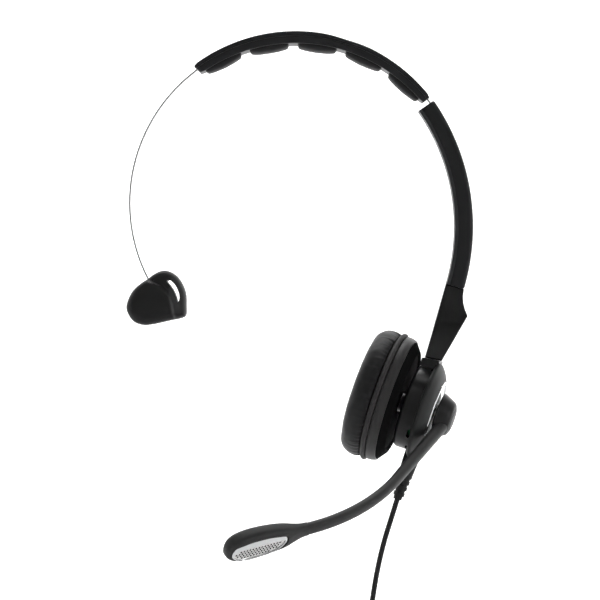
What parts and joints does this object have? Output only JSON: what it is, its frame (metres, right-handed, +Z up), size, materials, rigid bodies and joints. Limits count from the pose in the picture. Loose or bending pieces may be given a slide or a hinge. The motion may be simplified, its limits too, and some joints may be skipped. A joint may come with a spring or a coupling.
{
  "type": "office headset",
  "caption": "Single-ear wired office headset: padded crown on a spring-steel band, sliding arm, swivelling ear cup, turning microphone boom and a tied cord with a plug.",
  "frame": {"origin": "middle of the crown's underside, where the headset rests on the top of the head", "axes": "+X to the wearer's left, towards the ear cup; +Y to the back of the head; +Z up"},
  "size_m": [0.1452, 0.1185, 0.3192],
  "materials": {
    "strip_steel": "polished spring steel",
    "crown_black": "satin black moulded",
    "crown_pad": "soft matt black",
    "arm_black": "satin black moulded",
    "inner_grey": "fine matt texture",
    "piano_black": "high gloss black",
    "core_steel": "stamped steel",
    "nylon": "natural nylon",
    "hub_black": "semi gloss black",
    "disc_grey": "matt dark grey",
    "chrome": "bright chrome",
    "board_green": "solder mask",
    "cup_satin": "satin dark grey",
    "ring_rubber": "matt rubber",
    "cushion_leather": "soft black leatherette over foam",
    "diaphragm": "thin film",
    "magnet": "plated",
    "boom_grey": "matt soft touch",
    "mesh_silver": "perforated silver",
    "foam": "open foam",
    "temple_rubber": "smooth black rubber",
    "cord_rubber": "matt jacket",
    "plug_black": "matt moulded",
    "contact_brass": "gold flash",
    "tie_fabric": "woven hook and loop"
  },
  "bodies": {
    "headband": {"spring_strip": "strip_steel", "crown_cover": "crown_black", "crown_base": "crown_black", "crown_pad_1": "crown_pad", "crown_pad_2": "crown_pad", "crown_pad_3": "crown_pad", "crown_pad_4": "crown_pad", "crown_pad_5": "crown_pad", "strip_stop": "core_steel", "temple_clip": "nylon"},
    "temple": {"temple_pad": "temple_rubber", "temple_pin": "core_steel"},
    "arm": {"arm_cover": "arm_black", "arm_inner_cover": "inner_grey", "arm_screws": "core_steel", "band_guide": "nylon", "friction_spring": "strip_steel", "link_shell": "piano_black", "link_inner_cover": "inner_grey", "link_frame": "core_steel", "hub_barrel": "hub_black", "hub_neck": "hub_black", "hub_disc": "disc_grey", "chrome_ring": "chrome", "pivot_plate": "chrome", "pivot_bush": "nylon", "hub_board": "board_green", "hub_screws": "core_steel", "swivel_stud": "core_steel", "stud_nut": "core_steel", "cord_relief": "cord_rubber", "cord_lead": "cord_rubber", "cord_coil": "cord_rubber", "cord_tail": "cord_rubber", "coil_tie": "tie_fabric", "plug_boot": "cord_rubber", "plug_body": "plug_black", "plug_contacts": "contact_brass"},
    "swivel": {"swivel_collar": "nylon"},
    "cup": {"cup_shell": "cup_satin", "cup_back": "inner_grey", "retention_ring": "ring_rubber", "ear_cushion": "cushion_leather", "speaker_baffle": "inner_grey", "driver_frame": "inner_grey", "driver_magnet": "magnet", "driver_diaphragm": "diaphragm", "baffle_screws": "core_steel"},
    "boom": {"boom_cap": "boom_grey", "cap_lid": "boom_grey", "pivot_shaft": "core_steel", "shaft_clip": "core_steel", "boom_sheath": "boom_grey", "boom_core": "core_steel", "mic_housing": "boom_grey", "mic_bezel": "chrome", "mic_mesh": "mesh_silver", "mic_capsule": "magnet", "mic_foam": "foam"}
  },
  "joints": [
    {"name": "band_length", "type": "hinge", "parent": "headband", "child": "arm", "pos_m": [-0.0185, 0, -0.0762], "axis": [0, 1, 0], "range_deg": [0, 18]},
    {"name": "temple_tilt", "type": "hinge", "parent": "headband", "child": "temple", "pos_m": [-0.0623, 0, -0.105], "axis": [0, 1, 0], "range_deg": [-10, 10]},
    {"name": "cup_tilt", "type": "hinge", "parent": "arm", "child": "swivel", "pos_m": [0.04229, -0.00011, -0.14953], "axis": [0.148, 0.9877, -0.0507], "range_deg": [-7, 0]},
    {"name": "cup_swivel", "type": "hinge", "parent": "swivel", "child": "cup", "pos_m": [0.04229, -0.00011, -0.14953], "axis": [0.3239, 0, 0.9461], "range_deg": [-4.5, 4.5]},
    {"name": "boom_turn", "type": "hinge", "parent": "arm", "child": "boom", "pos_m": [0.0536, -0.002, -0.1534], "axis": [0.9344, -0.1564, -0.3199], "range_deg": [-100, 25]}
  ]
}
